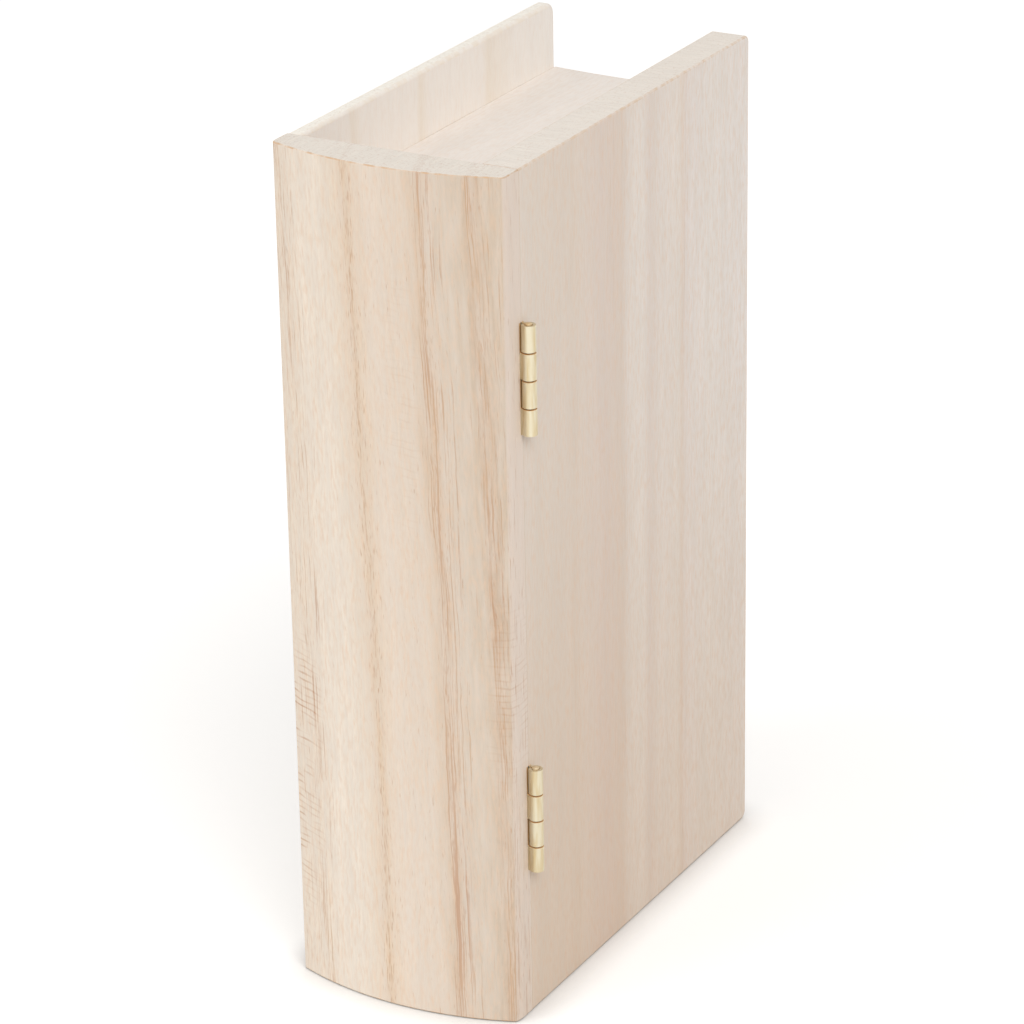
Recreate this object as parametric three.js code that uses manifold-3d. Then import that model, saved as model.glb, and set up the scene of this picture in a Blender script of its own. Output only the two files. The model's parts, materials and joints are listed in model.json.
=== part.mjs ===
// A wooden keepsake box shaped like a closed book, standing on its tail edge.
// A solid convex spine block and a thin back cover carry the four-sided page block.
// The thick front cover is the lid: it swings outwards on two small brass butt hinges.
import * as THREE from 'three';
import { mergeVertices } from 'three/addons/utils/BufferGeometryUtils.js';
import Module from 'manifold-3d';

// Overall size, in millimetres
const BOX_HEIGHT = 220;
const BOX_THICKNESS = 62.5;

// Spine block: edge thickness, outward bulge and the rounding of its two long corners
const SPINE_EDGE = 6.8;
const SPINE_BULGE = 6.2;
const SPINE_ROUND = 2;

// Covers: how far the back reaches from the spine's chord, how far short of it the lid stops,
// their thickness and the rounding of their free corners
const BACK_REACH = 132.5;
const BACK_THICKNESS = 4;
const BACK_CORNER = 3;
const LID_SETBACK = 5;
const LID_THICKNESS = 9.8;
const LID_CORNER = 2;

// Page block: walls set back from head and tail, with a hollowed fore edge
const HEAD_RECESS = 17.5;
const TAIL_RECESS = 17.5;
const END_WALL = 8;
const FORE_EDGE_WALL = 13;
const FORE_EDGE_HOLLOW = 1.5;

// Butt hinges: two, each of four knuckles on one pin, the upper one a little nearer its end
const HEAD_HINGE_INSET = 37.5;
const TAIL_HINGE_INSET = 39.5;
const KNUCKLE_COUNT = 4;
const KNUCKLE_PITCH = 7;
const KNUCKLE_GAP = 0.3;
const BARREL_RADIUS = 1.8;
const PIN_RADIUS = 0.9;
const PIN_PROUD = 0.3;
const LEAF_THICKNESS = 0.9;
const LEAF_WIDTH = 7;

// Countersunk tacks, two in each leaf
const TACK_SPACING = 15;
const TACK_LENGTH = 5;
const TACK_HEAD_RADIUS = 1.2;
const TACK_HEAD_RIM = 0.15;
const TACK_SHANK_RADIUS = 0.5;
const TACK_POINT = 1;

// Disc magnets that hold the lid shut
const MAGNET_RADIUS = 2.5;
const MAGNET_DEPTH = 2;

// Clearances
const SEAM_GAP = 0.4;
const LID_REST_GAP = 0.3;
const FIT_GAP = 0.3;
const PIN_GAP = 0.15;
const BARREL_GAP = 0.1;
const KNUCKLE_SWING_GAP = 0.15;
const MAGNET_SETBACK = 0.1;

// Eased edges of the boards, softer on the back cover, and the facets of round forms
const EDGE_EASE = 0.5;
const BACK_EASE = 1;
const EASE_STEPS = 2;
const ARC_STEPS = 20;
const ROUND_SIDES = 28;
const CUT_OVERRUN = 1;
const MERGE_DISTANCE = 1e-5;

// Places worked out from the sizes above. In the box frame X runs from the spine's chord
// to the fore edge, Y from the lid's outer face to the back cover, and Z from tail to head.
const seamX = SPINE_EDGE + SEAM_GAP / 2;
const barrelStandoff = BARREL_RADIUS + BARREL_GAP;
const barrelFront = barrelStandoff + BARREL_RADIUS;
const blockFront = LID_THICKNESS + LID_REST_GAP;
const blockBack = BOX_THICKNESS - BACK_THICKNESS;
const foreWallInner = BACK_REACH - FORE_EDGE_WALL;
const lidReach = BACK_REACH - LID_SETBACK;
const hingeLength = KNUCKLE_COUNT * KNUCKLE_PITCH;
const hingeFoots = {
  lower: TAIL_HINGE_INSET,
  upper: BOX_HEIGHT - HEAD_HINGE_INSET - hingeLength,
};
const leafStart = BARREL_RADIUS + KNUCKLE_SWING_GAP;
const leafEnd = leafStart + LEAF_WIDTH;
const tackHeights = [-1, 1].map((side) => (hingeLength + side * TACK_SPACING) / 2);
const magnetX = (foreWallInner + lidReach) / 2;
const magnetZ = BOX_HEIGHT / 2;

const pale = { roughness: 0.72, metalness: 0 };
const MATERIALS = {
  spine: new THREE.MeshStandardMaterial({ color: '#e6d6c2', ...pale }),
  cover: new THREE.MeshStandardMaterial({ color: '#dccfc1', ...pale }),
  page: new THREE.MeshStandardMaterial({ color: '#e6ddd3', ...pale }),
  brass: new THREE.MeshStandardMaterial({ color: '#d8c48c', roughness: 0.32, metalness: 1 }),
  magnet: new THREE.MeshStandardMaterial({ color: '#b9bbbd', roughness: 0.3, metalness: 1 }),
};

const wasm = await Module();
wasm.setup();

// Turns a closed geometry into a solid that can be joined and cut
function solidOf(geometry) {
  const bare = geometry.clone();
  bare.deleteAttribute('normal');
  bare.deleteAttribute('uv');
  const merged = mergeVertices(bare, MERGE_DISTANCE);
  return new wasm.Manifold(new wasm.Mesh({
    numProp: 3,
    vertProperties: new Float32Array(merged.attributes.position.array),
    triVerts: new Uint32Array(merged.index.array),
  }));
}

// Turns a solid back into a flat-shaded geometry
function geometryOf(solid) {
  const mesh = solid.getMesh();
  const indexed = new THREE.BufferGeometry();
  indexed.setAttribute('position', new THREE.BufferAttribute(mesh.vertProperties, 3));
  indexed.setIndex(new THREE.BufferAttribute(mesh.triVerts, 1));
  const geometry = indexed.toNonIndexed();
  geometry.computeVertexNormals();
  return geometry;
}

function cut(geometry, cutters) {
  const solid = cutters.reduce((left, cutter) => left.subtract(solidOf(cutter)), solidOf(geometry));
  return geometryOf(solid);
}

function join(geometries) {
  return geometryOf(geometries.map(solidOf).reduce((left, right) => left.add(right)));
}

// A box between two corners
function block(low, high) {
  const size = high.map((value, axis) => value - low[axis]);
  const centre = high.map((value, axis) => (value + low[axis]) / 2);
  return new THREE.BoxGeometry(...size).translate(...centre);
}

// An upright cylinder standing on z = foot
function post(radius, foot, length) {
  return new THREE.CylinderGeometry(radius, radius, length, ROUND_SIDES)
    .rotateX(Math.PI / 2)
    .translate(0, 0, foot + length / 2);
}

function arcRadius(chord, sagitta) {
  return (chord * chord / 4 + sagitta * sagitta) / (2 * sagitta);
}

// Extrudes an outline upwards from z = 0, with its end edges eased by the given amount
function prism(outline, height, ease) {
  const geometry = new THREE.ExtrudeGeometry(outline, {
    depth: height - 2 * ease,
    curveSegments: ARC_STEPS,
    bevelEnabled: ease > 0,
    bevelThickness: ease,
    bevelSize: ease,
    bevelOffset: -ease,
    bevelSegments: EASE_STEPS,
  });
  return geometry.translate(0, 0, ease);
}

// A cover board in the XZ plane with its two fore-edge corners rounded, thickness along +Y
function coverBoard(width, height, thickness, corner, ease) {
  const outline = new THREE.Shape();
  outline.moveTo(0, 0);
  outline.lineTo(width - corner, 0);
  outline.absarc(width - corner, corner, corner, -Math.PI / 2, 0, false);
  outline.lineTo(width, height - corner);
  outline.absarc(width - corner, height - corner, corner, 0, Math.PI / 2, false);
  outline.lineTo(0, height);
  outline.closePath();
  return prism(outline, thickness, ease).rotateX(Math.PI / 2).translate(0, thickness, 0);
}

// The spine's section: flat inside, a shallow arc outside, its long corners rounded over
function spineOutline() {
  const radius = arcRadius(BOX_THICKNESS, SPINE_BULGE);
  const middle = BOX_THICKNESS / 2;
  const halfSweep = Math.asin((middle - SPINE_ROUND) / radius);
  const centreX = radius - SPINE_BULGE;
  const outline = new THREE.Shape();
  outline.moveTo(SPINE_EDGE, 0);
  outline.lineTo(SPINE_ROUND, 0);
  outline.quadraticCurveTo(0, 0, centreX - radius * Math.cos(halfSweep), SPINE_ROUND);
  outline.absarc(centreX, middle, radius, Math.PI + halfSweep, Math.PI - halfSweep, true);
  outline.quadraticCurveTo(0, BOX_THICKNESS, SPINE_ROUND, BOX_THICKNESS);
  outline.lineTo(SPINE_EDGE, BOX_THICKNESS);
  outline.closePath();
  return outline;
}

// A page-block section from startX to the hollowed fore edge
function pageOutline(startX) {
  const chord = blockBack - blockFront;
  const radius = arcRadius(chord, FORE_EDGE_HOLLOW);
  const halfSweep = Math.asin(chord / 2 / radius);
  const centreX = BACK_REACH - FORE_EDGE_HOLLOW + radius;
  const centreY = (blockFront + blockBack) / 2;
  const outline = new THREE.Shape();
  outline.moveTo(startX, blockFront);
  outline.lineTo(BACK_REACH, blockFront);
  outline.absarc(centreX, centreY, radius, Math.PI + halfSweep, Math.PI - halfSweep, true);
  outline.lineTo(startX, blockBack);
  outline.closePath();
  return outline;
}

// A tack along -Y with its head's flat face at y = 0. Spare widens it into its own hole.
function tackForm(spare) {
  const coneDepth = TACK_HEAD_RADIUS - TACK_SHANK_RADIUS;
  const shoulder = TACK_HEAD_RIM + coneDepth;
  const topY = spare > 0 ? CUT_OVERRUN : 0;
  const profile = [
    [0, -TACK_LENGTH - spare],
    [TACK_SHANK_RADIUS + spare, -TACK_LENGTH + TACK_POINT - spare],
    [TACK_SHANK_RADIUS + spare, -shoulder],
    [TACK_HEAD_RADIUS + spare, -TACK_HEAD_RIM],
    [TACK_HEAD_RADIUS + spare, topY],
    [0, topY],
  ];
  return new THREE.LatheGeometry(profile.map(([x, y]) => new THREE.Vector2(x, y)), ROUND_SIDES);
}

// Where the tacks of one leaf sit, in that leaf's hinge frame. Side is -1 for the spine leaf
// and 1 for the lid leaf, and the tacks point away from the seam.
function tackPlaces(side) {
  return tackHeights.map((z) => ({
    position: new THREE.Vector3(side * SEAM_GAP / 2, (leafStart + leafEnd) / 2, z),
    turn: side * Math.PI / 2,
  }));
}

function tackHoles(side) {
  return tackPlaces(side).map(({ position, turn }) => (
    tackForm(FIT_GAP).rotateZ(turn).translate(position.x, position.y, position.z)
  ));
}

// The pocket for one leaf, open towards the seam and the barrel, in the hinge frame
function leafPocket(side) {
  const seamSide = side * (SEAM_GAP / 2 - CUT_OVERRUN);
  const floor = side * (SEAM_GAP / 2 + LEAF_THICKNESS + FIT_GAP);
  return block(
    [Math.min(seamSide, floor), barrelStandoff - CUT_OVERRUN, -FIT_GAP],
    [Math.max(seamSide, floor), leafEnd + FIT_GAP, hingeLength + FIT_GAP],
  );
}

// Every cut that both hinges make in the wood on one side, moved by an offset
function hingeCuts(side, offset) {
  return Object.values(hingeFoots).flatMap((foot) => (
    [leafPocket(side), ...tackHoles(side)].map((cutter) => (
      cutter.translate(offset.x, offset.y, offset.z + foot)
    ))
  ));
}

// One leaf with its knuckles, in the hinge frame: the pin is the Z axis
function hingeLeaf(side, firstKnuckle) {
  const inner = side * SEAM_GAP / 2;
  const outer = side * (SEAM_GAP / 2 + LEAF_THICKNESS);
  const lowX = Math.min(inner, outer);
  const highX = Math.max(inner, outer);
  const pieces = [block([lowX, leafStart, 0], [highX, leafEnd, hingeLength])];
  for (let index = firstKnuckle; index < KNUCKLE_COUNT; index += 2) {
    const foot = index * KNUCKLE_PITCH + KNUCKLE_GAP / 2;
    const length = KNUCKLE_PITCH - KNUCKLE_GAP;
    pieces.push(post(BARREL_RADIUS, foot, length));
    pieces.push(block([lowX, 0, foot], [highX, leafEnd, foot + length]));
  }
  const bore = post(PIN_RADIUS + PIN_GAP, -CUT_OVERRUN, hingeLength + 2 * CUT_OVERRUN);
  return cut(join(pieces), [bore, ...tackHoles(side)]);
}

// The pin, standing a little proud of the barrel with both ends peened to a low dome
function hingePin() {
  const profile = [
    [0, -PIN_PROUD],
    [PIN_RADIUS / 2, -PIN_PROUD],
    [PIN_RADIUS, 0],
    [PIN_RADIUS, hingeLength],
    [PIN_RADIUS / 2, hingeLength + PIN_PROUD],
    [0, hingeLength + PIN_PROUD],
  ];
  return new THREE.LatheGeometry(profile.map(([x, y]) => new THREE.Vector2(x, y)), ROUND_SIDES)
    .rotateX(Math.PI / 2);
}

// A disc magnet along +Y with its front face at y = 0, and the socket it is let into
function magnetDisc() {
  return new THREE.CylinderGeometry(MAGNET_RADIUS, MAGNET_RADIUS, MAGNET_DEPTH, ROUND_SIDES)
    .translate(0, MAGNET_DEPTH / 2, 0);
}

function magnetSocket(faceY, inward) {
  const radius = MAGNET_RADIUS + FIT_GAP;
  const depth = MAGNET_DEPTH + MAGNET_SETBACK + FIT_GAP;
  return new THREE.CylinderGeometry(radius, radius, depth + CUT_OVERRUN, ROUND_SIDES)
    .translate(magnetX, faceY + inward * (depth - CUT_OVERRUN) / 2, magnetZ);
}

function addPiece(parent, name, geometry, material, x = 0, y = 0, z = 0) {
  const mesh = new THREE.Mesh(geometry, material);
  mesh.name = name;
  mesh.position.set(x, y, z);
  parent.add(mesh);
  return mesh;
}

// The box frame's origin is the spine's chord at the lid's face. The group moves it so that
// the whole part stands centred over the origin.
const box = new THREE.Group();
box.position.set(
  (SPINE_BULGE - BACK_REACH) / 2,
  (barrelFront - BOX_THICKNESS) / 2,
  0,
);
const hingeAxis = new THREE.Vector3(seamX, -barrelStandoff, 0);

// Spine block
const spine = cut(prism(spineOutline(), BOX_HEIGHT, EDGE_EASE), hingeCuts(-1, hingeAxis));
addPiece(box, 'spine_block', spine, MATERIALS.spine);

// Back cover
const backWidth = BACK_REACH - SPINE_EDGE;
const backBoard = coverBoard(backWidth, BOX_HEIGHT, BACK_THICKNESS, BACK_CORNER, BACK_EASE);
addPiece(box, 'back_cover', backBoard, MATERIALS.cover, SPINE_EDGE, blockBack, 0);

// Page block
const foreWallHeight = BOX_HEIGHT - HEAD_RECESS - TAIL_RECESS - 2 * END_WALL;
const foreWallFoot = TAIL_RECESS + END_WALL;
addPiece(box, 'tail_wall', prism(pageOutline(SPINE_EDGE), END_WALL, 0), MATERIALS.page, 0, 0, TAIL_RECESS);
addPiece(box, 'head_wall', prism(pageOutline(SPINE_EDGE), END_WALL, 0), MATERIALS.page, 0, 0,
  BOX_HEIGHT - HEAD_RECESS - END_WALL);
const foreWall = cut(
  prism(pageOutline(foreWallInner), foreWallHeight, 0).translate(0, 0, foreWallFoot),
  [magnetSocket(blockFront, 1)],
);
addPiece(box, 'fore_edge_wall', foreWall, MATERIALS.page);
addPiece(box, 'wall_magnet', magnetDisc(), MATERIALS.magnet,
  magnetX, blockFront + MAGNET_SETBACK, magnetZ);

// The lid hangs in a group of its own on the hinge axis
const lid = new THREE.Group();
lid.position.copy(hingeAxis);
box.add(lid);

const lidEdge = seamX + SEAM_GAP / 2;
const lidBoard = cut(
  coverBoard(lidReach - lidEdge, BOX_HEIGHT, LID_THICKNESS, LID_CORNER, EDGE_EASE)
    .translate(lidEdge, 0, 0),
  [magnetSocket(LID_THICKNESS, -1), ...hingeCuts(1, hingeAxis)],
);
addPiece(lid, 'front_cover', lidBoard, MATERIALS.cover, -hingeAxis.x, -hingeAxis.y, 0);
addPiece(lid, 'lid_magnet', magnetDisc(), MATERIALS.magnet,
  magnetX - hingeAxis.x, LID_THICKNESS - MAGNET_SETBACK - MAGNET_DEPTH - hingeAxis.y, magnetZ);

// Hinges: the spine leaf and pin stay with the box, and the lid leaf turns with the lid
for (const [name, foot] of Object.entries(hingeFoots)) {
  const fixed = new THREE.Group();
  fixed.position.set(hingeAxis.x, hingeAxis.y, foot);
  box.add(fixed);
  const swinging = new THREE.Group();
  swinging.position.set(0, 0, foot);
  lid.add(swinging);
  addPiece(fixed, `${name}_spine_leaf`, hingeLeaf(-1, 0), MATERIALS.brass);
  addPiece(fixed, `${name}_hinge_pin`, hingePin(), MATERIALS.brass);
  addPiece(swinging, `${name}_lid_leaf`, hingeLeaf(1, 1), MATERIALS.brass);
  for (const [group, side, leaf] of [[fixed, -1, 'spine'], [swinging, 1, 'lid']]) {
    tackPlaces(side).forEach(({ position, turn }, index) => {
      const tack = addPiece(group, `${name}_${leaf}_tack_${index + 1}`, tackForm(0), MATERIALS.brass);
      tack.position.copy(position);
      tack.rotation.z = turn;
    });
  }
}

export default box;
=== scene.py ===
# %% [markdown]
# # A keepsake box shaped like a closed book
#
# The box is bare paulownia, a very light and pale wood. It stands on its tail edge like a book on
# a shelf: a solid, rounded spine, a thin back cover, a frame of walls in place of the pages, and
# a thick front cover that opens as a lid on two small brass hinges.
#
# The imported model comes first. It gives every piece its place, so the pieces made below are sized
# from its boxes and nothing has to be fitted by eye.

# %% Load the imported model
import json
import math

import bmesh
import bpy
from mathutils import Matrix, Vector


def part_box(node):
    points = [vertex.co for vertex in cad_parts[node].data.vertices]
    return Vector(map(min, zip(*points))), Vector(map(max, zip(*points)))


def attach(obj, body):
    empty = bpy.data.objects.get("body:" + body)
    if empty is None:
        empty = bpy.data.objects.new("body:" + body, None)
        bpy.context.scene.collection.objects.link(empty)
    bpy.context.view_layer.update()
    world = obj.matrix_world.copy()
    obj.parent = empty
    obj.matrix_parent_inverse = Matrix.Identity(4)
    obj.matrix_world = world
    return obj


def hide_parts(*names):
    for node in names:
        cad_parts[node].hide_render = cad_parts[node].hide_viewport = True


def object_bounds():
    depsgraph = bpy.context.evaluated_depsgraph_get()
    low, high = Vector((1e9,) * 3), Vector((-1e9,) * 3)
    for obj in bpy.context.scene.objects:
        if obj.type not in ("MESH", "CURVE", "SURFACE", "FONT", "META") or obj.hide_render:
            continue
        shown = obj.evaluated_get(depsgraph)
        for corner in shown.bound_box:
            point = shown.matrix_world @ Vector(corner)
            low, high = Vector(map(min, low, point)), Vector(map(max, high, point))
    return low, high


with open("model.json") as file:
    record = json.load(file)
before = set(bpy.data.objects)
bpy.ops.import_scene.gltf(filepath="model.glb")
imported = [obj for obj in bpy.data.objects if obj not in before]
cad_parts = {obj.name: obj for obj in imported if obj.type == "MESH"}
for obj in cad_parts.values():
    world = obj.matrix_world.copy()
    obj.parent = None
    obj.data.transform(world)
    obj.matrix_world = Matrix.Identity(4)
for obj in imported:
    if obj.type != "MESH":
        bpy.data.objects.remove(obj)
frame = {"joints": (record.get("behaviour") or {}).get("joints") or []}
cad_low, cad_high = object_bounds()
print("packed size in mm:", [round(1000 * v, 2) for v in cad_high - cad_low])

# %% [markdown]
# ## Units and the box's own directions
#
# Blender works in metres here, but a small wooden box is easier to think about in millimetres, so
# one constant turns them. X runs from the spine to the fore edge, Y from the lid to the back
# cover, and Z from the tail to the head. The hinge axis is read from the joint of the model.

# %% Units and directions
MM = 0.001
X, Y, Z = Vector((1, 0, 0)), Vector((0, 1, 0)), Vector((0, 0, 1))
hinge_axis = Vector(frame["joints"][0]["pos_m"])
box_height = cad_high.z - cad_low.z
print("hinge axis:", [round(v / MM, 2) for v in hinge_axis], "height:", round(box_height / MM, 1))

# %% [markdown]
# ## The camera
#
# The camera is a long lens a good metre away, a little above the box and to the left of the
# spine. Long lenses keep upright edges almost parallel. It could be aimed with a Track To
# constraint, but three angles and a distance say the same thing in plain numbers: the azimuth
# walks round the box, the elevation climbs, and the roll tips the horizon slightly.

# %% Camera
CAMERA_AZIMUTH = -60.7202
CAMERA_ELEVATION = 22.7453
CAMERA_ROLL = -1.0258
CAMERA_DISTANCE = 1.10134
CAMERA_AIM = Vector((-0.00098, 0.00492, 0.10741))
LENS_MM = 152.714
SENSOR_MM = 36

azimuth, elevation, roll = map(math.radians, (CAMERA_AZIMUTH, CAMERA_ELEVATION, CAMERA_ROLL))
back = Vector((
    math.sin(azimuth) * math.cos(elevation),
    -math.cos(azimuth) * math.cos(elevation),
    math.sin(elevation),
))
level = Z.cross(back).normalized()
upright = back.cross(level)
right = math.cos(roll) * level + math.sin(roll) * upright
up = -math.sin(roll) * level + math.cos(roll) * upright

camera = bpy.data.objects.new("camera", bpy.data.cameras.new("camera"))
camera.data.lens = LENS_MM
camera.data.sensor_width = SENSOR_MM
camera.data.clip_end = 20
camera.matrix_world = (
    Matrix.Translation(CAMERA_AIM + CAMERA_DISTANCE * back)
    @ Matrix((right, up, back)).transposed().to_4x4()
)
bpy.context.scene.collection.objects.link(camera)
bpy.context.scene.camera = camera
print("camera at", [round(v, 3) for v in camera.matrix_world.translation])

# %% [markdown]
# ## Colours and nodes
#
# Colours are easiest to choose as the hex values that a screen shows. Blender's shaders work in
# linear light, so one function turns hex into linear numbers. Another adds a shader node, sets
# its properties and fills or links its inputs, which keeps each material short enough to read.

# %% Helpers for colours and nodes
def tone(hex_text):
    """A hex colour as the linear RGBA that shader sockets take."""
    parts = [int(hex_text[i:i + 2], 16) / 255 for i in (1, 3, 5)]
    linear = [v / 12.92 if v <= 0.04045 else ((v + 0.055) / 1.055) ** 2.4 for v in parts]
    return (*linear, 1.0)


def add(tree, kind, inputs=None, **settings):
    """One node with its properties set and its inputs filled in or linked."""
    made = tree.nodes.new(kind)
    for key, value in settings.items():
        setattr(made, key, value)
    for key, value in (inputs or {}).items():
        if isinstance(value, bpy.types.NodeSocket):
            tree.links.new(value, made.inputs[key])
        else:
            made.inputs[key].default_value = value
    return made


# A Mix node has sockets for numbers, vectors and colours. These are the ones for colours.
COLOUR_A, COLOUR_B, MIXED = 6, 7, 2


def set_stops(ramp_node, stops):
    """Fills a colour ramp with (position, colour) pairs, in rising order."""
    ramp = ramp_node.color_ramp
    while len(ramp.elements) < len(stops):
        ramp.elements.new(1.0)
    for element, (position, colour) in zip(ramp.elements, stops):
        element.position = position
        element.color = colour


def new_material(name):
    """An empty node material with its output, and the tree to build in."""
    material = bpy.data.materials.new(name)
    material.use_nodes = True
    material.node_tree.nodes.clear()
    output = add(material.node_tree, "ShaderNodeOutputMaterial")
    return material, material.node_tree, output


print("cream in linear light", [round(v, 3) for v in tone("#ebdcca")])

# %% [markdown]
# ## The surround
#
# A plain white surround, as in a small product studio. The world gives soft light from
# everywhere. Seen directly, or mirrored in the brass, it is pure white: the Light Path node tells
# those rays from the ones that carry light to the wood, so a white background never adds light to
# the box.

# %% World
AMBIENT = 0.54


def seen_by(tree, *rays):
    """1 for the given kinds of rays, 0 for the rest."""
    path = add(tree, "ShaderNodeLightPath")
    seen = path.outputs[rays[0]]
    for ray in rays[1:]:
        seen = add(tree, "ShaderNodeMath", {0: seen, 1: path.outputs[ray]},
                   operation="MAXIMUM").outputs[0]
    return seen


world = bpy.data.worlds.new("studio_surround")
bpy.context.scene.world = world
world.use_nodes = True
tree = world.node_tree
tree.nodes.clear()
seen = seen_by(tree, "Is Camera Ray", "Is Glossy Ray", "Is Transmission Ray")
soft = add(tree, "ShaderNodeBackground", {"Color": tone("#fffdfb"), "Strength": AMBIENT})
white = add(tree, "ShaderNodeBackground", {"Color": tone("#ffffff"), "Strength": 1.0})
shown = add(tree, "ShaderNodeMixShader", {0: seen, 1: soft.outputs[0], 2: white.outputs[0]})
add(tree, "ShaderNodeOutputWorld", {"Surface": shown.outputs[0]})
print("ambient light", AMBIENT)

# %% [markdown]
# ## The floor
#
# A wide pale sheet of paper. It glows a little, which whitens it towards the horizon. Near the box
# it glows less, which paints a faint grey shade round the box on top of its soft shadow. An ambient
# occlusion node takes the glow away in the last millimetres, where box and floor meet: a painted
# contact shadow, a thin dark line.

# %% Floor
FLOOR_HALF = 6.0
FLOOR_DROP = 0.0003
GLOW_FAR, GLOW_NEAR = 0.48, 0.33
GLOW_REACH = 0.35
CONTACT_REACH = 0.01
CONTACT_DARK = 0.4

floor_paint, tree, output = new_material("pale_studio_floor")
place = add(tree, "ShaderNodeTexCoord")
distance = add(tree, "ShaderNodeVectorMath", {0: place.outputs["Object"]}, operation="LENGTH")
# Painted shade: the glow is lower near the box
strength = add(tree, "ShaderNodeMapRange", {
    "Value": distance.outputs["Value"], "From Min": 0.0, "From Max": GLOW_REACH,
    "To Min": GLOW_NEAR, "To Max": GLOW_FAR}, interpolation_type="SMOOTHSTEP")
# Painted contact shadow: the glow fades where ambient occlusion is high
open_sky = add(tree, "ShaderNodeAmbientOcclusion", {"Distance": CONTACT_REACH}, samples=8)
clear = add(tree, "ShaderNodeMapRange", {
    "Value": open_sky.outputs["AO"], "From Min": CONTACT_DARK})
seen = seen_by(tree, "Is Camera Ray", "Is Glossy Ray")
lift = add(tree, "ShaderNodeMath", {0: seen, 1: strength.outputs[0]}, operation="MULTIPLY")
lift = add(tree, "ShaderNodeMath", {0: lift.outputs[0], 1: clear.outputs[0]},
           operation="MULTIPLY")
paint = add(tree, "ShaderNodeBsdfDiffuse", {"Color": tone("#e7e6e4")})
glow = add(tree, "ShaderNodeEmission", {"Color": tone("#ffffff"), "Strength": lift.outputs[0]})
both = add(tree, "ShaderNodeAddShader", {0: paint.outputs[0], 1: glow.outputs[0]})
tree.links.new(both.outputs[0], output.inputs["Surface"])

sheet = bmesh.new()
bmesh.ops.create_grid(sheet, x_segments=1, y_segments=1, size=FLOOR_HALF,
                      matrix=Matrix.Translation((0, 0, -FLOOR_DROP)))
floor_mesh = bpy.data.meshes.new("studio_floor")
sheet.to_mesh(floor_mesh)
sheet.free()
floor = bpy.data.objects.new("studio_floor", floor_mesh)
floor_mesh.materials.append(floor_paint)
bpy.context.scene.collection.objects.link(floor)
print("floor", 2 * FLOOR_HALF, "m wide")

# %% [markdown]
# ## The lamps
#
# Two large area lamps do the shaping. One hangs high behind the spine's far edge, so the rounded
# spine is the brightest upright face. The other stands in front, on the camera's side of the lid,
# where the small shadows of the hinges fall behind their barrels and stay out of sight. A large
# lamp gives soft shadows, as its light comes from many directions.

# %% Lamps
LAMPS = (
    # name, place, point aimed at, size in metres, power in watts
    ("spine_softbox", (-1.35, 0.85, 0.90), (0, 0, 0.11), 1.1, 8.2),
    ("lid_softbox", (-1.0, -1.07, 1.5), (0, 0, 0.13), 1.2, 18.8),
)
for name, place, target, size, power in LAMPS:
    lamp = bpy.data.lights.new(name, "AREA")
    lamp.shape = "DISK"
    lamp.size = size
    lamp.energy = power
    holder = bpy.data.objects.new(name, lamp)
    aim = (Vector(target) - Vector(place)).to_track_quat("-Z", "Y")
    holder.matrix_world = Matrix.Translation(place) @ aim.to_matrix().to_4x4()
    bpy.context.scene.collection.objects.link(holder)
    print(name, power, "W")

# %% [markdown]
# ## Paulownia, sanded and left bare
#
# Paulownia grows fast, so its growth rings are one or two centimetres apart. Each ring starts
# with a crowd of large vessels, which a saw opens into short brown grooves along the grain, and
# goes on to plain cream wood. On a board this gives wide, soft stripes with a sharp streaky edge
# on one side. Sanding leaves the surface dull, with a fine fibre texture.
#
# A pattern painted on each face would break at the edges. A solid one fills space, and a board
# shows whatever its faces cut through, as sawn wood does. Positions are taken in millimetres,
# from the line where the spine's round face begins, and split into across, depth and along the
# grain. Noise stretched along the grain does the rest.

# %% Wood directions and noise
SPINE_EDGE = 6.8 * MM
MIDDLE_HALF = {"From Min": 0.25, "From Max": 0.75}
# Each noise is shifted by its own width, so that no two of them line up
NOISE_SHIFT = (9, 4, 3)

lid_low, lid_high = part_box("front_cover")
spine_low, spine_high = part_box("spine_block")
wood_origin = Vector((spine_high.x - SPINE_EDGE, lid_low.y, 0))
print("wood patterns start at", [round(v / MM, 2) for v in wood_origin])


def wood_directions(tree, axes):
    """Sockets for a board: its place in mm, the way across, in depth and along, and the height."""
    place = add(tree, "ShaderNodeTexCoord")
    in_mm = add(tree, "ShaderNodeMapping", {
        "Vector": place.outputs["Object"], "Scale": (1 / MM,) * 3,
        "Location": [-v / MM for v in wood_origin]})
    parts = add(tree, "ShaderNodeSeparateXYZ", {"Vector": in_mm.outputs[0]})
    across, depth, along = (parts.outputs[letter] for letter in axes)
    height = add(tree, "ShaderNodeMath", {0: along, 1: box_height / MM},
                 operation="DIVIDE", use_clamp=True)
    return {"place": in_mm.outputs[0], "across": across, "depth": depth, "along": along,
            "height": height.outputs[0]}


def stretched_noise(tree, vector, size, detail, between=None):
    """Noise whose blotches are so many millimetres wide and long.

    Between gives two values, and the noise's middle half is spread to reach from one to the
    other."""
    width, length = size
    place = add(tree, "ShaderNodeMapping", {
        "Vector": vector, "Location": [step * width for step in NOISE_SHIFT],
        "Scale": (1 / width, 1 / width, 1 / length)})
    noise = add(tree, "ShaderNodeTexNoise", {
        "Vector": place.outputs[0], "Scale": 1.0, "Detail": detail, "Roughness": 0.5})
    if between is None:
        return noise.outputs["Fac"]
    return add(tree, "ShaderNodeMapRange", {
        "Value": noise.outputs["Fac"], **MIDDLE_HALF,
        "To Min": between[0], "To Max": between[1]}).outputs[0]


# %% [markdown]
# ## Growth rings
#
# The rings are a colour ramp over the distance across the board. Trunks taper, so the distance
# drifts sideways towards the head, and it wavers a little. A second ramp says how crowded the
# vessels are in each part of a ring: long lines in its red channel, short dashes in its green.

# %% Growth rings
BOW_POWER = 1.4
QUIVER = 0.22
WAVER_SIZE, QUIVER_SIZE = (26, 70), (3, 9)


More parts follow.
